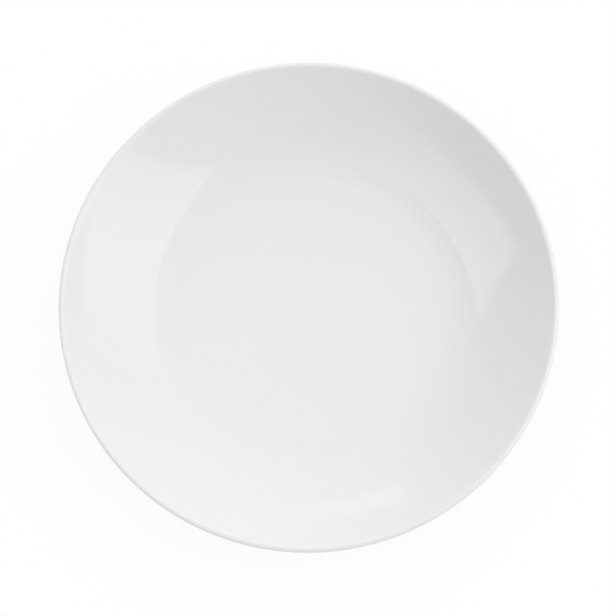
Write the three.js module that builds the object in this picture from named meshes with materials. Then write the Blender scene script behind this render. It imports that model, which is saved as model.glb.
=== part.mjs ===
// Deep coupe plate of porcelain: a turned body, the glaze over it and the glaze inside its foot ring.
// Millimetres, +Z up. The origin is the middle of the foot ring, on the plane that the plate stands on.
import * as THREE from "three";

// Driving dimensions. Sizes of the bowl are taken over the glaze, sizes of the foot ring on the bare porcelain.
const plateDiameter = 210;
const plateHeight = 34;
const lipThickness = 2.8;
const wallReach = 46; // across, from the flat of the well to the edge of the lip
const wallAngle = 42; // degrees above the horizontal, where the wall runs into the lip
const wallThickness = 4.4; // where the wall leaves the floor
const floorThickness = 5;
const recessDepth = 4; // base inside the foot ring, above the table
const stackClearance = 1; // foot ring of one plate inside the flat well of the next
const footWidth = 4; // standing face, across the ring
const footDraft = 14; // degrees that both sides of the ring lean from the vertical
const footEdgeRadius = 0.5;
const outerFilletRadius = 2; // foot ring to underside of the wall
const innerFilletRadius = 1.2; // foot ring to base
const filletShare = 0.9; // most of a leg that a fillet may take up
const bareFoot = 1.2; // height of ring wiped clean of glaze, along its sides
const glazeThickness = 0.25;
const bondGap = 0.02; // keeps the glaze and the porcelain two closed bodies

// Facets
const turns = 64; // round the axis
const wallSteps = 8;
const lipSteps = 2; // in each of the lip's three arcs
const filletSteps = 3;

// Derived places, as radius and height in the plate's half section
const quarterTurn = Math.PI / 2;
const wall = THREE.MathUtils.degToRad(wallAngle);
const draft = THREE.MathUtils.degToRad(footDraft);
const bodyInset = glazeThickness + bondGap;
const lipRadius = lipThickness / 2;
const wellRadius = plateDiameter / 2 - wallReach;
const wellHeight = recessDepth + floorThickness;
const undersideHeight = wellHeight - wallThickness;
const footOuterRadius = wellRadius - stackClearance;
const footInnerRadius = footOuterRadius - footWidth;

function point(radius, height) {
  return new THREE.Vector2(radius, height);
}

// A point so far along a direction from another
function along(start, direction, distance) {
  return start.clone().addScaledVector(direction, distance);
}

// The arc that rounds the corner between two straight legs, smaller than asked where a leg is too short for it
function cornerArc(from, corner, to, wantedRadius) {
  const back = from.clone().sub(corner);
  const ahead = to.clone().sub(corner);
  const legLimit = filletShare * Math.min(back.length(), ahead.length());
  back.normalize();
  ahead.normalize();
  const halfAngle = Math.acos(back.dot(ahead)) / 2;
  const legLength = Math.min(wantedRadius / Math.tan(halfAngle), legLimit);
  const radius = legLength * Math.tan(halfAngle);
  const middle = back.clone().add(ahead).normalize();
  const centre = along(corner, middle, radius / Math.sin(halfAngle));
  const start = along(corner, back, legLength).sub(centre);
  const end = along(corner, ahead, legLength).sub(centre);
  const clockwise = start.cross(end) < 0;
  return new THREE.EllipseCurve(centre.x, centre.y, radius, radius, start.angle(), end.angle(), clockwise);
}

// The wall's curve from a level start to an end that it meets at the wall's slope
function wallCurve(start, end) {
  const bend = point(end.x - (end.y - start.y) / Math.tan(wall), start.y);
  return new THREE.QuadraticBezierCurve(start, bend, end);
}

// Joins stretches of curve end to end, moved into the material, which lies left of the direction of travel
function insetOutline(stretches, inset) {
  const outline = [];
  for (const { curve, steps } of stretches) {
    for (let step = outline.length ? 1 : 0; step <= steps; step += 1) {
      const travel = curve.getTangent(step / steps);
      outline.push(along(curve.getPoint(step / steps), point(-travel.y, travel.x), inset));
    }
  }
  return outline;
}

function straight(from, to) {
  return { curve: new THREE.LineCurve(from, to), steps: 1 };
}

// Ends of a curve
const startOf = (curve) => curve.getPoint(0);
const endOf = (curve) => curve.getPoint(1);

// Sides of the foot ring: each leans away from the ring's middle as it rises, and faces away from the porcelain
const outerRise = point(Math.sin(draft), Math.cos(draft));
const outerFacing = point(Math.cos(draft), -Math.sin(draft));
const innerRise = point(-outerRise.x, outerRise.y);
const innerFacing = point(-outerFacing.x, outerFacing.y);
const footOuterEdge = point(footOuterRadius, 0);
const footInnerEdge = point(footInnerRadius, 0);

// Where the glaze ends on each side, on the glaze's own surface
const outerGlazeEnd = along(along(footOuterEdge, outerFacing, bodyInset), outerRise, bareFoot);
const innerGlazeEnd = along(along(footInnerEdge, innerFacing, bodyInset), innerRise, bareFoot);

// The lip, from the underside of the wall over to its inside, parted at its outermost and its highest point
function lipArcs() {
  const centre = point(plateDiameter / 2 - lipRadius, plateHeight - lipRadius);
  const angles = [wall - quarterTurn, 0, quarterTurn, wall + quarterTurn];
  return angles.slice(1).map(
    (angle, index) => new THREE.EllipseCurve(centre.x, centre.y, lipRadius, lipRadius, angles[index], angle),
  );
}

// Glazed surface of the bowl: up the foot, out under the wall, over the lip and down to the middle of the well
function bowlStretches() {
  const lip = lipArcs();
  const lipStart = startOf(lip.at(0));
  const lipEnd = endOf(lip.at(-1));
  const riseToUnderside = (undersideHeight - outerGlazeEnd.y) / outerRise.y;
  const footCorner = along(outerGlazeEnd, outerRise, riseToUnderside);
  const underLip = point(lipStart.x, undersideHeight);
  const fillet = cornerArc(outerGlazeEnd, footCorner, underLip, outerFilletRadius);
  const wellEdge = point(wellRadius, wellHeight);
  const inside = wallCurve(wellEdge, lipEnd);
  return [
    straight(outerGlazeEnd, startOf(fillet)),
    { curve: fillet, steps: filletSteps },
    { curve: wallCurve(endOf(fillet), lipStart), steps: wallSteps },
    ...lip.map((arc) => ({ curve: arc, steps: lipSteps })),
    { curve: new THREE.QuadraticBezierCurve(inside.v2, inside.v1, inside.v0), steps: wallSteps },
    straight(wellEdge, point(0, wellHeight)),
  ];
}

// Glazed surface inside the foot ring: from the middle of the base out to the ring and down its inner side
function baseStretches() {
  const middle = point(0, recessDepth);
  const riseToBase = (recessDepth - innerGlazeEnd.y) / innerRise.y;
  const corner = along(innerGlazeEnd, innerRise, riseToBase);
  const fillet = cornerArc(middle, corner, innerGlazeEnd, innerFilletRadius);
  return [
    straight(middle, startOf(fillet)),
    { curve: fillet, steps: filletSteps },
    straight(endOf(fillet), innerGlazeEnd),
  ];
}

// Bare porcelain of the ring: down its inner side, across the standing face and up its outer side
function bareFootOutline() {
  const innerTop = along(footInnerEdge, innerRise, bareFoot);
  const outerTop = along(footOuterEdge, outerRise, bareFoot);
  const innerEdge = cornerArc(innerTop, footInnerEdge, footOuterEdge, footEdgeRadius);
  const outerEdge = cornerArc(footInnerEdge, footOuterEdge, outerTop, footEdgeRadius);
  return [...innerEdge.getPoints(filletSteps), ...outerEdge.getPoints(filletSteps)];
}

// Turns a half section, drawn with its material on the left, about the plate's axis
function turned(name, halfSection, material) {
  const geometry = new THREE.LatheGeometry(halfSection, turns);
  geometry.rotateX(quarterTurn); // the lathe turns about Y
  const mesh = new THREE.Mesh(geometry, material);
  mesh.name = name;
  return mesh;
}

const bisque = new THREE.MeshStandardMaterial({ color: 0xe6e2da, roughness: 0.75, metalness: 0 });
const glaze = new THREE.MeshStandardMaterial({ color: 0xe9e9e9, roughness: 0.08, metalness: 0 });

const bowl = bowlStretches();
const base = baseStretches();

const porcelainBody = turned(
  "porcelain_body",
  [...insetOutline(base, bodyInset), ...bareFootOutline(), ...insetOutline(bowl, bodyInset)],
  bisque,
);
const glazeCoat = turned(
  "glaze_coat",
  [...insetOutline(bowl, glazeThickness).reverse(), ...insetOutline(bowl, 0)],
  glaze,
);
const baseGlaze = turned(
  "base_glaze",
  [...insetOutline(base, 0), ...insetOutline(base, glazeThickness).reverse()],
  glaze,
);

const plate = new THREE.Group();
plate.name = "deep_plate";
plate.add(porcelainBody, glazeCoat, baseGlaze);

export default plate;
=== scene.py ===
import math
import bpy
from mathutils import Matrix, Vector


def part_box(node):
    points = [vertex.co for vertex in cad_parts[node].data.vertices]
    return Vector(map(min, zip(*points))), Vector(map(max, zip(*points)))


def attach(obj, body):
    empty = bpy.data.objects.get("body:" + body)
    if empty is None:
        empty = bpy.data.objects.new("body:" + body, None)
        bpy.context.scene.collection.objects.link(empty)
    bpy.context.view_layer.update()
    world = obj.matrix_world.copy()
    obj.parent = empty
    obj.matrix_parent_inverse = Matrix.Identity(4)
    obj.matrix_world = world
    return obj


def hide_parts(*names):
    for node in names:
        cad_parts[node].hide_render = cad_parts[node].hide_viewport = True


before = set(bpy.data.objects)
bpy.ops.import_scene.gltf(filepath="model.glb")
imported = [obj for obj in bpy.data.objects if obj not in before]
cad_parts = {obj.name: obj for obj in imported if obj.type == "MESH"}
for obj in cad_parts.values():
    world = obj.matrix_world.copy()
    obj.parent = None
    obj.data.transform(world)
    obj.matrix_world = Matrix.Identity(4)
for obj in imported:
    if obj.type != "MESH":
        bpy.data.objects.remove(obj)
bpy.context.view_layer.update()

bowlLow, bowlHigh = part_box("glaze_coat")
mm = 0.001
print("frame loaded, nodes:", ", ".join(sorted(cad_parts)))

# sizes of the turned form, in metres
# the bowl is measured over the glaze, and the foot ring on the bare porcelain
form = {
    "Plate Diameter": bowlHigh[0] - bowlLow[0],
    "Plate Height": bowlHigh[2],
    "Lip Thickness": 2.8 * mm,
    "Wall Reach": 46 * mm,        # across, from the flat of the well to the edge of the lip
    "Wall Angle": math.radians(42),        # where the wall runs into the lip
    "Wall Thickness": 4.4 * mm,        # where the wall leaves the floor
    "Floor Thickness": 5 * mm,
    "Recess Depth": 4 * mm,        # base inside the foot ring, above the table
    "Stack Clearance": 1 * mm,        # foot ring of one plate inside the well of the next
    "Foot Width": 4 * mm,
    "Foot Draft": math.radians(14),
    "Foot Edge Radius": 0.5 * mm,
    "Outer Fillet Radius": 2 * mm,
    "Inner Fillet Radius": 1.2 * mm,
    "Bare Foot": 1.2 * mm,        # height of ring wiped clean of glaze
    "Glaze Thickness": 0.25 * mm,
    "Bond Gap": 0.02 * mm,
}

# places on the form that the finishes follow
footOuter = form["Plate Diameter"] / 2 - form["Wall Reach"] - form["Stack Clearance"]
footInner = footOuter - form["Foot Width"]
undersideHeight = form["Recess Depth"] + form["Floor Thickness"] - form["Wall Thickness"]

# what firing and wiping leave in a form that is otherwise round
kiln = {
    "Warp": 0.10 * mm,        # rise and fall of the lip
    "Warp Lobes": 1.1,
    "Warp Seed": 3.7,
    "Wipe Wander": 0.16 * mm,        # how far the wiped edge of the glaze strays up and down the ring
    "Wipe Lobes": 5.0,
    "Wipe Seed": 12.7,
    "Wipe Fade": 0.6,        # the stray dies away above the edge, over this share of the bare height
}

# fineness of the meshes
fineness = {
    "Turns": 320,        # round the axis
    "Wall Steps": 32,
    "Lip Steps": 8,        # in each of the lip's three arcs
    "Fillet Steps": 6,
    "Flat Steps": 6,
    "Bead Steps": 6,
}

railRadius = 0.2        # the circle that the half section is carried round
weldDistance = 2e-6
quarterTurn = math.pi / 2


# a value in a node tree that can be added, taken away, multiplied and divided
class Wire:
    def __init__(self, tree, socket):
        self.tree = tree
        self.socket = socket

    def math(self, operation, first, second):
        node = self.tree.nodes.new("ShaderNodeMath")
        node.operation = operation
        plug(first, node.inputs[0])
        plug(second, node.inputs[1])
        return Wire(self.tree, node.outputs[0])

    def __add__(self, other):
        return self.math("ADD", self, other)

    def __radd__(self, other):
        return self.math("ADD", other, self)

    def __sub__(self, other):
        return self.math("SUBTRACT", self, other)

    def __rsub__(self, other):
        return self.math("SUBTRACT", other, self)

    def __mul__(self, other):
        return self.math("MULTIPLY", self, other)

    def __truediv__(self, other):
        return self.math("DIVIDE", self, other)


def plug(value, socket):
    if isinstance(value, Wire):
        value.tree.links.new(value.socket, socket)
    else:
        socket.default_value = value


def addNode(tree, kind, settings=None, **inputs):
    node = tree.nodes.new(kind)
    for key, value in (settings or {}).items():
        setattr(node, key, value)
    for key, value in inputs.items():
        plug(value, node.inputs[key.replace("_", " ")])
    return node


def wireFrom(tree, kind, settings=None, output=0, **inputs):
    return Wire(tree, addNode(tree, kind, settings, **inputs).outputs[output])


# a function of one value, such as a sine or a square root
def mathOf(operation, value):
    return value.math(operation, value, 0.0)


def vectorMath(tree, operation, *operands, output=0):
    node = addNode(tree, "ShaderNodeVectorMath", {"operation": operation})
    for value, socket in zip(operands, node.inputs):
        plug(value, socket)
    return Wire(tree, node.outputs[output])


# distance from the plate's axis, and height
def roundPlace(tree, vector):
    parts = addNode(tree, "ShaderNodeSeparateXYZ", Vector=vector)
    across = Wire(tree, parts.outputs["X"])
    along = Wire(tree, parts.outputs["Y"])
    radius = mathOf("SQRT", across * across + along * along)
    return radius, Wire(tree, parts.outputs["Z"])


# one point of the half section: x is the radius, y the height
def sectionPoint(tree, radius, height):
    return wireFrom(tree, "ShaderNodeCombineXYZ", X=radius, Y=height)


class Section:
    # curves of the half section, in travelling order, with the porcelain or glaze on the left
    def __init__(self, tree, sizes):
        self.tree = tree
        self.sizes = sizes
        self.stretches = []
        self.findPlaces()

    def findPlaces(self):
        size = self.sizes
        self.sine = mathOf("SINE", size["Foot Draft"])
        self.cosine = mathOf("COSINE", size["Foot Draft"])
        self.bodyInset = size["Glaze Thickness"] + size["Bond Gap"]
        self.lipRadius = size["Lip Thickness"] / 2
        self.lipCentre = (size["Plate Diameter"] / 2 - self.lipRadius, size["Plate Height"] - self.lipRadius)
        self.wellRadius = size["Plate Diameter"] / 2 - size["Wall Reach"]
        self.wellHeight = size["Recess Depth"] + size["Floor Thickness"]
        self.undersideHeight = self.wellHeight - size["Wall Thickness"]
        self.footOuter = self.wellRadius - size["Stack Clearance"]
        self.footInner = self.footOuter - size["Foot Width"]

    # a point on a side of the foot ring, so far up it and so far proud of the bare porcelain
    # side is 1 for the outside of the ring and -1 for the inside
    def onFoot(self, side, rise, proud):
        edge = self.footOuter if side > 0 else self.footInner
        radius = edge + (self.sine * rise + self.cosine * proud) * side
        return radius, self.cosine * rise - self.sine * proud

    # centre of the fillet that joins a side of the ring to a level face above it
    def filletCentre(self, side, levelHeight, filletRadius):
        proud = self.bodyInset + filletRadius
        height = levelHeight - filletRadius
        rise = (height + self.sine * proud) / self.cosine
        return self.onFoot(side, rise, proud)

    # how far up the sides of the ring the roundings of its edges reach
    def edgeRise(self):
        return self.sizes["Foot Edge Radius"] * (1.0 - self.sine) / self.cosine

    # centre of the rounding between a side of the ring and its standing face
    def edgeCentre(self, side):
        return self.onFoot(side, self.edgeRise(), self.sizes["Foot Edge Radius"] * -1.0)

    def bend(self, start, middle, end, steps):
        points = {"Start": start, "Middle": middle, "End": end}
        wires = {key: sectionPoint(self.tree, *place) for key, place in points.items()}
        curve = wireFrom(self.tree, "GeometryNodeCurveQuadraticBezier", Resolution=self.sizes[steps], **wires)
        self.stretches.append(curve)

    def straight(self, start, end, steps):
        middle = ((start[0] + end[0]) / 2, (start[1] + end[1]) / 2)
        self.bend(start, middle, end, steps)

    # the wall leaves its start level and meets its end at the wall's slope
    def wall(self, start, end, steps, backwards=False):
        slope = mathOf("TANGENT", self.sizes["Wall Angle"])
        middle = (end[0] - (end[1] - start[1]) / slope, start[1])
        if backwards:
            self.bend(end, middle, start, steps)
        else:
            self.bend(start, middle, end, steps)

    def arc(self, centre, radius, startAngle, sweep, steps):
        arc = wireFrom(self.tree, "GeometryNodeCurveArc", {"mode": "RADIUS"}, Resolution=self.sizes[steps],
                       Radius=radius, Start_Angle=startAngle, Sweep_Angle=sweep)
        place = sectionPoint(self.tree, *centre)
        moved = wireFrom(self.tree, "GeometryNodeTransform", Geometry=arc, Translation=place)
        self.stretches.append(moved)

    # glazed surface from the foot ring out under the wall, over the lip and in to the middle of the well
    def bowlSkin(self, inset, footStart):
        size = self.sizes
        draft = size["Foot Draft"]
        angle = size["Wall Angle"]
        fillet = self.filletCentre(1, self.undersideHeight, size["Outer Fillet Radius"])
        filletRadius = size["Outer Fillet Radius"] + inset
        filletStart = (fillet[0] - self.cosine * filletRadius, fillet[1] + self.sine * filletRadius)
        filletEnd = (fillet[0], fillet[1] + filletRadius)
        lipRadius = self.lipRadius - inset
        lean = (mathOf("SINE", angle) * lipRadius, mathOf("COSINE", angle) * lipRadius)
        lipStart = (self.lipCentre[0] + lean[0], self.lipCentre[1] - lean[1])
        lipEnd = (self.lipCentre[0] - lean[0], self.lipCentre[1] + lean[1])
        well = self.wellHeight - inset
        self.straight(footStart, filletStart, "Fillet Steps")
        self.arc(fillet, filletRadius, math.pi - draft, draft - quarterTurn, "Fillet Steps")
        self.wall(filletEnd, lipStart, "Wall Steps")
        self.arc(self.lipCentre, lipRadius, angle - quarterTurn, quarterTurn - angle, "Lip Steps")
        self.arc(self.lipCentre, lipRadius, 0.0, quarterTurn, "Lip Steps")
        self.arc(self.lipCentre, lipRadius, quarterTurn, angle, "Lip Steps")
        self.wall((self.wellRadius, well), lipEnd, "Wall Steps", backwards=True)
        self.straight((self.wellRadius, well), (0.0, well), "Flat Steps")

    # glazed surface inside the ring, from the middle of the base out and down the ring's inner side
    def baseSkin(self, inset, footEnd):
        size = self.sizes
        draft = size["Foot Draft"]
        fillet = self.filletCentre(-1, size["Recess Depth"], size["Inner Fillet Radius"])
        filletRadius = size["Inner Fillet Radius"] + inset
        filletStart = (fillet[0], fillet[1] + filletRadius)
        filletEnd = (fillet[0] + self.cosine * filletRadius, fillet[1] + self.sine * filletRadius)
        self.straight((0.0, filletStart[1]), filletStart, "Flat Steps")
        self.arc(fillet, filletRadius, quarterTurn, draft - quarterTurn, "Fillet Steps")
        self.straight(filletEnd, footEnd, "Fillet Steps")

    # bare ring: its two rounded edges and the standing face between them
    def standingRing(self):
        draft = self.sizes["Foot Draft"]
        edgeRadius = self.sizes["Foot Edge Radius"]
        inner = self.edgeCentre(-1)
        outer = self.edgeCentre(1)
        self.arc(inner, edgeRadius, draft + math.pi, quarterTurn - draft, "Fillet Steps")
        self.straight((inner[0], 0.0), (outer[0], 0.0), "Flat Steps")
        self.arc(outer, edgeRadius, 3 * quarterTurn, quarterTurn - draft, "Fillet Steps")

    # how far up the sides of the ring the skins of the glaze end and the bead below them begins
    def beadRise(self):
        return self.sizes["Bare Foot"] + self.sizes["Glaze Thickness"] / 2

    # rounded end of the glaze
    # outside the ring it is drawn from the back skin to the front one, and inside the other way
    def bead(self, side):
        draft = self.sizes["Foot Draft"]
        radius = self.sizes["Glaze Thickness"] / 2
        centre = self.onFoot(side, self.beadRise(), self.sizes["Bond Gap"] + radius)
        startAngle = (draft + math.pi) if side < 0 else (math.pi - draft)
        self.arc(centre, radius, startAngle, math.pi, "Bead Steps")

    # where a skin of the glaze starts or ends on a side of the ring
    def glazeEnd(self, side, inset):
        return self.onFoot(side, self.beadRise(), self.bodyInset - inset)

    # turns round everything drawn so far, for the far side of a closed section
    def turnBack(self):
        joined = joinCurves(self.tree, self.stretches)
        self.stretches = [wireFrom(self.tree, "GeometryNodeReverseCurve", Curve=joined)]


def joinCurves(tree, curves):
    node = tree.nodes.new("GeometryNodeJoinGeometry")
    for curve in curves:
        tree.links.new(curve.socket, node.inputs[0])
    return Wire(tree, node.outputs[0])


def drawPorcelain(section):
    inset = section.bodyInset
    rise = section.edgeRise()
    section.baseSkin(inset, section.onFoot(-1, rise, 0.0))
    section.standingRing()
    section.bowlSkin(inset, section.onFoot(1, rise, 0.0))


def drawGlazeCoat(section):
    thickness = section.sizes["Glaze Thickness"]
    section.bowlSkin(thickness, section.glazeEnd(1, thickness))
    section.turnBack()
    section.bead(1)
    section.bowlSkin(0.0, section.glazeEnd(1, 0.0))


def drawBaseGlaze(section):
    thickness = section.sizes["Glaze Thickness"]
    section.baseSkin(thickness, section.glazeEnd(-1, thickness))
    section.turnBack()
    section.baseSkin(0.0, section.glazeEnd(-1, 0.0))
    section.bead(-1)


# level unit vector away from the plate's axis
def outwardWay(tree):
    place = wireFrom(tree, "GeometryNodeInputPosition")
    level = vectorMath(tree, "MULTIPLY", place, (1.0, 1.0, 0.0))
    return vectorMath(tree, "NORMALIZE", level)


# a noise from -1 to 1 that runs round the plate's axis and is the same at every radius
def noiseRound(tree, lobes, seed):
    spread = vectorMath(tree, "MULTIPLY_ADD", outwardWay(tree), lobes, seed)
    noise = wireFrom(tree, "ShaderNodeTexNoise", Vector=spread, Scale=1.0, Detail=1.0)
    return (noise - 0.5) * 2.0


# moves the turned mesh as the kiln and the sponge would
# wipedSide is the side of the ring where the edge of the glaze was wiped, or 0 for none
def leaveTheRound(tree, mesh, section, wipedSide):
    size = section.sizes
    radius, height = roundPlace(tree, wireFrom(tree, "GeometryNodeInputPosition"))
    share = radius / (size["Plate Diameter"] / 2)
    swing = noiseRound(tree, size["Warp Lobes"], size["Warp Seed"])
    lift = wireFrom(tree, "ShaderNodeCombineXYZ", Z=swing * size["Warp"] * share * share * share)
    warped = wireFrom(tree, "GeometryNodeSetPosition", Geometry=mesh, Offset=lift)
    if not wipedSide:
        return warped
    edgeHeight = section.onFoot(wipedSide, size["Bare Foot"], 0.0)[1]
    fade = wireFrom(tree, "ShaderNodeMapRange", Value=height, From_Min=edgeHeight,
                    From_Max=edgeHeight + size["Bare Foot"] * size["Wipe Fade"], To_Min=1.0, To_Max=0.0)
    stray = noiseRound(tree, size["Wipe Lobes"], size["Wipe Seed"])
    slide = stray * fade * size["Wipe Wander"]
    sideways = vectorMath(tree, "MULTIPLY", outwardWay(tree), slide * section.sine * wipedSide)
    upwards = wireFrom(tree, "ShaderNodeCombineXYZ", Z=slide * section.cosine)
    upTheSide = vectorMath(tree, "ADD", sideways, upwards)
    return wireFrom(tree, "GeometryNodeSetPosition", Geometry=warped, Offset=upTheSide)


# the wheel: a tree that draws a half section from its named sizes and carries it round the axis
def wheelTree(name, drawSection, wipedSide, material):
    tree = bpy.data.node_groups.new(name, "GeometryNodeTree")
    tree.is_modifier = True
    tree.interface.new_socket("Geometry", in_out="INPUT", socket_type="NodeSocketGeometry")
    tree.interface.new_socket("Geometry", in_out="OUTPUT", socket_type="NodeSocketGeometry")
    for key in [*form, *kiln]:
        tree.interface.new_socket(key, in_out="INPUT", socket_type="NodeSocketFloat")
    for key in fineness:
        tree.interface.new_socket(key, in_out="INPUT", socket_type="NodeSocketInt")
    source = tree.nodes.new("NodeGroupInput")
    sizes = {key: Wire(tree, source.outputs[key]) for key in [*form, *kiln, *fineness]}
    section = Section(tree, sizes)
    drawSection(section)
    drawn = joinCurves(tree, section.stretches)
    profile = wireFrom(tree, "GeometryNodeTransform", Geometry=drawn, Translation=(-railRadius, 0.0, 0.0),
                       Scale=(1.0, -1.0, 1.0))
    circle = wireFrom(tree, "GeometryNodeCurvePrimitiveCircle", Resolution=sizes["Turns"], Radius=railRadius)
    rail = wireFrom(tree, "GeometryNodeSetCurveNormal", {"mode": "Z_UP"}, Curve=circle)
    turned = wireFrom(tree, "GeometryNodeCurveToMesh", Curve=rail, Profile_Curve=profile)
    welded = wireFrom(tree, "GeometryNodeMergeByDistance", Geometry=turned, Distance=weldDistance)
    outward = wireFrom(tree, "GeometryNodeFlipFaces", Mesh=welded)
    moved = leaveTheRound(tree, outward, section, wipedSide)
    smooth = wireFrom(tree, "GeometryNodeSetShadeSmooth", Geometry=moved)
    whole = wireFrom(tree, "GeometryNodeRealizeInstances", Geometry=smooth)
    dressed = wireFrom(tree, "GeometryNodeSetMaterial", Geometry=whole, Material=material)
    result = tree.nodes.new("NodeGroupOutput")
    plug(dressed, result.inputs["Geometry"])
    return tree


def turnPiece(name, drawSection, wipedSide, material):
    tree = wheelTree(name + "Wheel", drawSection, wipedSide, material)
    piece = bpy.data.objects.new(name, bpy.data.meshes.new(name))
    bpy.context.scene.collection.objects.link(piece)
    wheel = piece.modifiers.new("wheel", "NODES")
    wheel.node_group = tree
    values = {**form, **kiln, **fineness}
    for item in tree.interface.items_tree:
        if item.in_out == "INPUT" and item.name in values:
            wheel[item.identifier] = values[item.name]
    shown = piece.evaluated_get(bpy.context.evaluated_depsgraph_get())
    mesh = bpy.data.meshes.new_from_object(shown)
    piece.modifiers.remove(wheel)
    piece.data = mesh
    mesh.name = name
    print("turned", name, "with", len(mesh.polygons), "faces")
    return piece


# a shader group with named sockets, and the wires of its inputs
def shaderGroup(name, inputs, outputs):
    tree = bpy.data.node_groups.new(name, "ShaderNodeTree")
    for key, kind in inputs.items():
        tree.interface.new_socket(key, in_out="INPUT", socket_type=kind)
    for key, kind in outputs.items():
        tree.interface.new_socket(key, in_out="OUTPUT", socket_type=kind)
    source = tree.nodes.new("NodeGroupInput")
    wires = {key: Wire(tree, source.outputs[key]) for key in inputs}
    return tree, wires, tree.nodes.new("NodeGroupOutput")


number = "NodeSocketFloat"
arrow = "NodeSocketVector"


# octaves of the noises in the skin
noiseDetail = {"swell": 1.0, "grain": 2.0, "cloud": 3.0}
cloudShare = 0.4        # scale of the clouds, as a share of that of the swells
noiseRange = (0.3, 0.7)        # most values of a noise lie in here


def noiseFrom(tree, vector, scale, detail):
    return wireFrom(tree, "ShaderNodeTexNoise", Vector=vector, Scale=scale, Detail=detail)


# a noise spread out between two values
def between(tree, noise, low, high):
    least, most = noiseRange
    return wireFrom(tree, "ShaderNodeMapRange", Value=noise, From_Min=least, From_Max=most,
                    To_Min=low, To_Max=high)


# a soft step between two values, from where a measure is 0 to where it reaches a width
def softStep(tree, measure, width, low, high):
    return wireFrom(tree, "ShaderNodeMapRange", {"interpolation_type": "SMOOTHSTEP"}, Value=measure,
                    From_Min=0.0, From_Max=width, To_Min=low, To_Max=high)


# unevenness that turning and firing leave: heights in metres, so that the bump is true to size
def firedSkinGroup():
    inputs = {"Vector": arrow, "Swell Scale": number, "Swell Height": number, "Grain Scale": number,
              "Grain Height": number, "Ring Pitch": number, "Ring Height": number}
    outputs = {"Height": number, "Cloud": number, "Speck": number}
    tree, wires, result = shaderGroup("firedSkin", inputs, outputs)
    vector = wires["Vector"]
    radius = roundPlace(tree, vector)[0]
    swell = noiseFrom(tree, vector, wires["Swell Scale"], noiseDetail["swell"])
    grain = noiseFrom(tree, vector, wires["Grain Scale"], noiseDetail["grain"])
    cloud = noiseFrom(tree, vector, wires["Swell Scale"] * cloudShare, noiseDetail["cloud"])
    phase = (radius + swell * wires["Ring Pitch"]) / wires["Ring Pitch"] * (2 * math.pi)
    rings = mathOf("SINE", phase) * wires["Ring Height"]
    total = swell * wires["Swell Height"] + grain * wires["Grain Height"] + rings
    plug(total, result.inputs["Height"])
    plug(cloud, result.inputs["Cloud"])
    plug(grain, result.inputs["Speck"])
    return tree


# a soft band round the plate, 1 on a circle of given radius and height and 0 a given width away
def ringBandGroup():
    inputs = {"Vector": arrow, "Radius": number, "Height": number, "Width": number}
    tree, wires, result = shaderGroup("ringBand", inputs, {"Mask": number})
    radius, height = roundPlace(tree, wires["Vector"])
    across = radius - wires["Radius"]
    upward = height - wires["Height"]
    distance = mathOf("SQRT", across * across + upward * upward)
    plug(softStep(tree, distance, wires["Width"], 1.0, 0.0), result.inputs["Mask"])
    return tree


firedSkin = firedSkinGroup()
ringBand = ringBandGroup()


def useGroup(tree, group, vector, values):
    node = tree.nodes.new("ShaderNodeGroup")
    node.node_tree = group
    plug(vector, node.inputs["Vector"])
    for key, value in values.items():
        node.inputs[key].default_value = value
    return {socket.name: Wire(tree, socket) for socket in node.outputs}


def mixColour(tree, mask, first, second):
    node = tree.nodes.new("ShaderNodeMix")
    node.data_type = "RGBA"
    plug(mask, node.inputs["Factor"])
    colours = [socket for socket in node.inputs if socket.type == "RGBA"]
    for value, socket in zip((first, second), colours):
        plug(value if isinstance(value, Wire) else (*value, 1.0), socket)
    return Wire(tree, next(socket for socket in node.outputs if socket.type == "RGBA"))


def newMaterial(name):
    material = bpy.data.materials.new(name)
    material.use_nodes = True
    tree = material.node_tree
    place = Wire(tree, tree.nodes.new("ShaderNodeTexCoord").outputs["Object"])
    return material, tree, tree.nodes["Principled BSDF"], place


def bumpFrom(tree, height, shader):
    bump = wireFrom(tree, "ShaderNodeBump", Strength=1.0, Distance=1.0, Height=height)
    plug(bump, shader.inputs["Normal"])


# clear glaze on white porcelain
# it is cooler where it pools against the foot, and a trace warmer where it thins on the lip
glazeLook = {
    "white": (0.800, 0.800, 0.800),
    "shade": (0.793, 0.793, 0.794),        # faint clouds in the glaze
    "pooled": (0.742, 0.754, 0.762),
    "thin": (0.804, 0.800, 0.795),
    "smooth": 0.06,        # roughness between the clouds
    "dull": 0.08,        # roughness in the clouds
    "refraction": 1.5,
    "skin": {"Swell Scale": 55.0, "Swell Height": 6e-6, "Grain Scale": 900.0, "Grain Height": 4e-7,
             "Ring Pitch": 2.6 * mm, "Ring Height": 1.5e-7},
    "outerPool": {
        "Radius": footOuter + 2.2 * mm,
        "Height": undersideHeight - 0.6 * mm,
        "Width": 2.6 * mm,
    },
    "innerPool": {
        "Radius": footInner - 1.4 * mm,
        "Height": form["Recess Depth"] - 0.3 * mm,
        "Width": 1.9 * mm,
    },
    "lipEdge": {
        "Radius": form["Plate Diameter"] / 2 - 0.8 * mm,
        "Height": form["Plate Height"] - 0.8 * mm,
        "Width": 2.4 * mm,
    },
}


def glazeMaterial():
    look = glazeLook
    material, tree, shader, place = newMaterial("clearGlaze")
    skin = useGroup(tree, firedSkin, place, look["skin"])
    colour = mixColour(tree, between(tree, skin["Cloud"], 0.0, 1.0), look["white"], look["shade"])
    for band, tint in (("outerPool", "pooled"), ("innerPool", "pooled"), ("lipEdge", "thin")):
        mask = useGroup(tree, ringBand, place, look[band])["Mask"]
        colour = mixColour(tree, mask, colour, look[tint])
    plug(colour, shader.inputs["Base Color"])
    plug(between(tree, skin["Cloud"], look["smooth"], look["dull"]), shader.inputs["Roughness"])
    shader.inputs["IOR"].default_value = look["refraction"]
    bumpFrom(tree, skin["Height"], shader)
    return material


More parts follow.
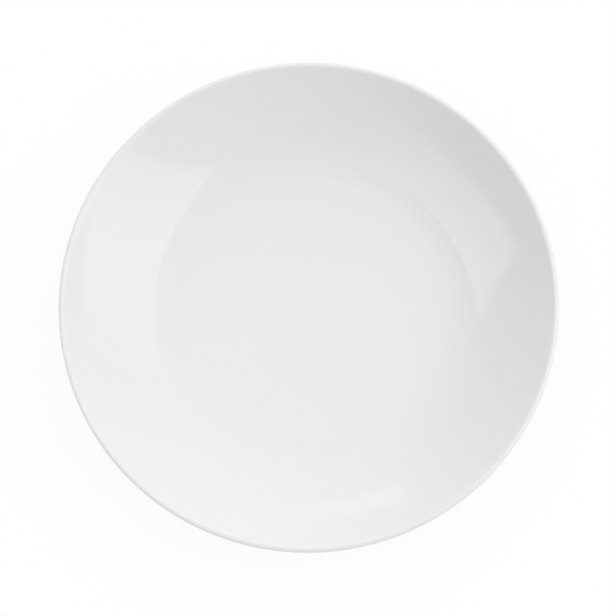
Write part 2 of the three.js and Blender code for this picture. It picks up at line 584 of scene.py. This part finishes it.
# bare porcelain of the ring: warm white and dry, with grey rubs on the face that it stands on
bareLook = {
    "clay": (0.790, 0.765, 0.715),
    "grog": (0.700, 0.672, 0.622),        # fine darker specks
    "rub": (0.520, 0.505, 0.480),
    "rubCover": (-0.6, 0.9),        # least and most of the rubs; where it falls below 0 the ring is clean
    "dry": 0.86,        # roughness of the bare porcelain
    "rubbed": 0.62,        # roughness in the rubs
    "skin": {"Swell Scale": 240.0, "Swell Height": 4e-6, "Grain Scale": 2600.0, "Grain Height": 1.4e-5,
             "Ring Pitch": 0.45 * mm, "Ring Height": 2e-6},
    "standing": {"Radius": (footOuter + footInner) / 2, "Height": -0.2 * mm, "Width": 2.6 * mm},
}


def bareMaterial():
    look = bareLook
    material, tree, shader, place = newMaterial("barePorcelain")
    skin = useGroup(tree, firedSkin, place, look["skin"])
    mask = useGroup(tree, ringBand, place, look["standing"])["Mask"]
    speckled = mixColour(tree, between(tree, skin["Speck"], 1.0, 0.0), look["clay"], look["grog"])
    cover = mask * between(tree, skin["Cloud"], *look["rubCover"])
    rubbed = wireFrom(tree, "ShaderNodeClamp", Value=cover)
    plug(mixColour(tree, rubbed, speckled, look["rub"]), shader.inputs["Base Color"])
    roughness = rubbed * (look["rubbed"] - look["dry"]) + look["dry"]
    plug(roughness, shader.inputs["Roughness"])
    bumpFrom(tree, skin["Height"], shader)
    return material


glaze = glazeMaterial()
bare = bareMaterial()
print("finishes made")

# wiped is the side of the foot ring where the sponge took the glaze off, 1 outside, -1 inside and 0 for none
pieces = {
    "porcelainBody": {
        "draw": drawPorcelain, "wiped": 0, "material": bare,
        "node": "porcelain_body", "slot": "bisque",
    },
    "glazeCoat": {
        "draw": drawGlazeCoat, "wiped": 1, "material": glaze,
        "node": "glaze_coat", "slot": "glaze",
    },
    "baseGlaze": {
        "draw": drawBaseGlaze, "wiped": -1, "material": glaze,
        "node": "base_glaze", "slot": "glaze",
    },
}
for name, piece in pieces.items():
    turned = turnPiece(name, piece["draw"], piece["wiped"], piece["material"])
    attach(turned, "root")
    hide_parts(piece["node"])

# white sweep that the plate stands on; the camera sees it near white, with a faint shadow of the plate
sweep = {
    "size": 24.0,
    "colour": (0.95, 0.95, 0.95),
    "roughness": 0.9,
    "glow": 0.88,        # share of plain white in what the camera and the glaze see of it
    "drop": 0.02 * mm,        # below the foot ring
}


def sweepMaterial():
    material = bpy.data.materials.new("whiteSweep")
    material.use_nodes = True
    tree = material.node_tree
    shader = tree.nodes["Principled BSDF"]
    shader.inputs["Base Color"].default_value = (*sweep["colour"], 1.0)
    shader.inputs["Roughness"].default_value = sweep["roughness"]
    shader.inputs["Specular IOR Level"].default_value = 0.0
    glow = addNode(tree, "ShaderNodeEmission", Strength=1.0)
    ray = tree.nodes.new("ShaderNodeLightPath")
    seen = Wire(tree, ray.outputs["Is Camera Ray"])
    for kind in ("Is Glossy Ray", "Is Transmission Ray"):
        seen = seen.math("MAXIMUM", seen, Wire(tree, ray.outputs[kind]))
    seen = seen * sweep["glow"]
    mix = tree.nodes.new("ShaderNodeMixShader")
    plug(seen, mix.inputs[0])
    tree.links.new(shader.outputs[0], mix.inputs[1])
    tree.links.new(glow.outputs[0], mix.inputs[2])
    tree.links.new(mix.outputs[0], tree.nodes["Material Output"].inputs["Surface"])
    return material


def laySweep():
    half = sweep["size"] / 2
    corners = [(-half, -half), (half, -half), (half, half), (-half, half)]
    mesh = bpy.data.meshes.new("sweep")
    mesh.from_pydata([(x, y, -sweep["drop"]) for x, y in corners], [], [(0, 1, 2, 3)])
    mesh.materials.append(sweepMaterial())
    floor = bpy.data.objects.new("sweep", mesh)
    bpy.context.scene.collection.objects.link(floor)


laySweep()

# the studio: a white tent that is brighter towards one side
# its patches are dimmer or brighter by their gain, broad at a low focus and narrow at a high one
tent = {"level": 0.828, "brighterTowards": (-0.10, 0.18, -0.02)}
patches = {
    "openSide": {"fromZenith": 90, "azimuth": 190, "gain": -0.62, "focus": 2},
    "rearPanel": {"fromZenith": 90, "azimuth": 60, "gain": 0.38, "focus": 2},
    "boxSurround": {"fromZenith": 66, "azimuth": 212, "gain": -0.24, "focus": 30},
}
# softboxes that the glaze mirrors, with angles in degrees as seen from the plate
# edge is the angle over which each long side dies away, and ends are the angles of the two short sides
# first is the light's share at the first short side, from where it grows to the whole
softboxes = {
    "left": {
        "fromZenith": 40.8, "azimuth": 207.2, "turn": 9, "wide": 72, "tall": 35.8,
        "edge": 4, "ends": (3, 62), "first": 1.0, "radiance": 1.33,
    },
    "right": {
        "fromZenith": 46.8, "azimuth": 356, "turn": -3, "wide": 67.2, "tall": 45.5,
        "edge": 4.5, "ends": (3, 46), "first": 0.65, "radiance": 1.52,
    },
    "back": {
        "fromZenith": 74.6, "azimuth": 89, "turn": 0, "wide": 34, "tall": 12,
        "edge": 3.5, "ends": (26, 4), "first": 1.0, "radiance": 0.80,
    },
}
softboxDistance = 1.6
firstReach = 0.5        # share of a softbox's width over which its light grows to the whole
plateMiddle = Vector((0.0, 0.0, bowlHigh[2] / 2))


# an object's axes from the direction that it faces away from
def facingFrom(away, roll):
    level = Vector((0.0, 0.0, 1.0)).cross(away).normalized()
    upright = away.cross(level)
    turn = Matrix((level, upright, away)).transposed()
    return turn @ Matrix.Rotation(math.radians(roll), 3, "Z")


def setObject(thing, place, turn):
    thing.matrix_world = Matrix.Translation(place) @ turn.to_4x4()
    bpy.context.scene.collection.objects.link(thing)


# a softbox dies away at its sides, each over its own width
def shadeSoftbox(lamp, box):
    lamp.use_nodes = True
    tree = lamp.node_tree
    place = Wire(tree, tree.nodes.new("ShaderNodeNewGeometry").outputs["Parametric"])
    parts = addNode(tree, "ShaderNodeSeparateXYZ", Vector=place)
    across = Wire(tree, parts.outputs["X"])
    upward = Wire(tree, parts.outputs["Y"])
    fades = [
        (across, box["ends"][0] / box["wide"]),
        (1.0 - across, box["ends"][1] / box["wide"]),
        (upward, box["edge"] / box["tall"]),
        (1.0 - upward, box["edge"] / box["tall"]),
    ]
    strength = softStep(tree, across, firstReach, box["first"], 1.0)
    for inward, width in fades:
        strength = softStep(tree, inward, width, 0.0, 1.0) * strength
    plug(strength, tree.nodes["Emission"].inputs["Strength"])


# unit vector towards a place in the studio
def wayTo(place):
    zenith = math.radians(place["fromZenith"])
    azimuth = math.radians(place["azimuth"])
    level = math.sin(zenith)
    return Vector((level * math.cos(azimuth), level * math.sin(azimuth), math.cos(zenith)))


def hangSoftbox(name, box):
    away = wayTo(box)
    lamp = bpy.data.lights.new(name, "AREA")
    lamp.shape = "RECTANGLE"
    lamp.size = 2 * softboxDistance * math.tan(math.radians(box["wide"]) / 2)
    lamp.size_y = 2 * softboxDistance * math.tan(math.radians(box["tall"]) / 2)
    lamp.energy = box["radiance"] * math.pi * lamp.size * lamp.size_y
    shadeSoftbox(lamp, box)
    holder = bpy.data.objects.new(name, lamp)
    holder.visible_camera = False
    setObject(holder, plateMiddle + away * softboxDistance, facingFrom(away, box["turn"]))


for name, box in softboxes.items():
    hangSoftbox(name, box)


# how far the direction of sight in the world runs along a given way
def alongWay(tree, way):
    direction = Wire(tree, tree.nodes.new("ShaderNodeTexCoord").outputs["Generated"])
    return vectorMath(tree, "DOT_PRODUCT", direction, way, output="Value")


def raiseTent():
    world = bpy.data.worlds.new("tent")
    world.use_nodes = True
    tree = world.node_tree
    level = (alongWay(tree, tent["brighterTowards"]) + 1.0) * tent["level"]
    for patch in patches.values():
        share = alongWay(tree, wayTo(patch))
        share = share.math("MAXIMUM", share, 0.0)
        level = level + share.math("POWER", share, patch["focus"]) * patch["gain"]
    tree.nodes["Background"].inputs["Color"].default_value = (1.0, 1.0, 1.0, 1.0)
    plug(level, tree.nodes["Background"].inputs["Strength"])
    bpy.context.scene.world = world


raiseTent()

# the camera looks almost straight down into the bowl
view = {
    "elevation": 78.1,
    "roll": -8.0,
    "distance": 0.717,
    "lens": 100.0,
    "sensor": 36.0,
    "nearest": 0.01,        # clips what is closer to the lens
    "aim": (-0.0004, -0.0032, 0.0326),
}


def setCamera():
    elevation = math.radians(view["elevation"])
    away = Vector((0.0, -math.cos(elevation), math.sin(elevation)))
    camera = bpy.data.cameras.new("camera")
    camera.lens = view["lens"]
    camera.sensor_width = view["sensor"]
    camera.clip_start = view["nearest"]
    holder = bpy.data.objects.new("camera", camera)
    setObject(holder, Vector(view["aim"]) + away * view["distance"], facingFrom(away, view["roll"]))
    bpy.context.scene.camera = holder


setCamera()
bpy.context.scene.view_settings.view_transform = "Standard"
print("studio set")
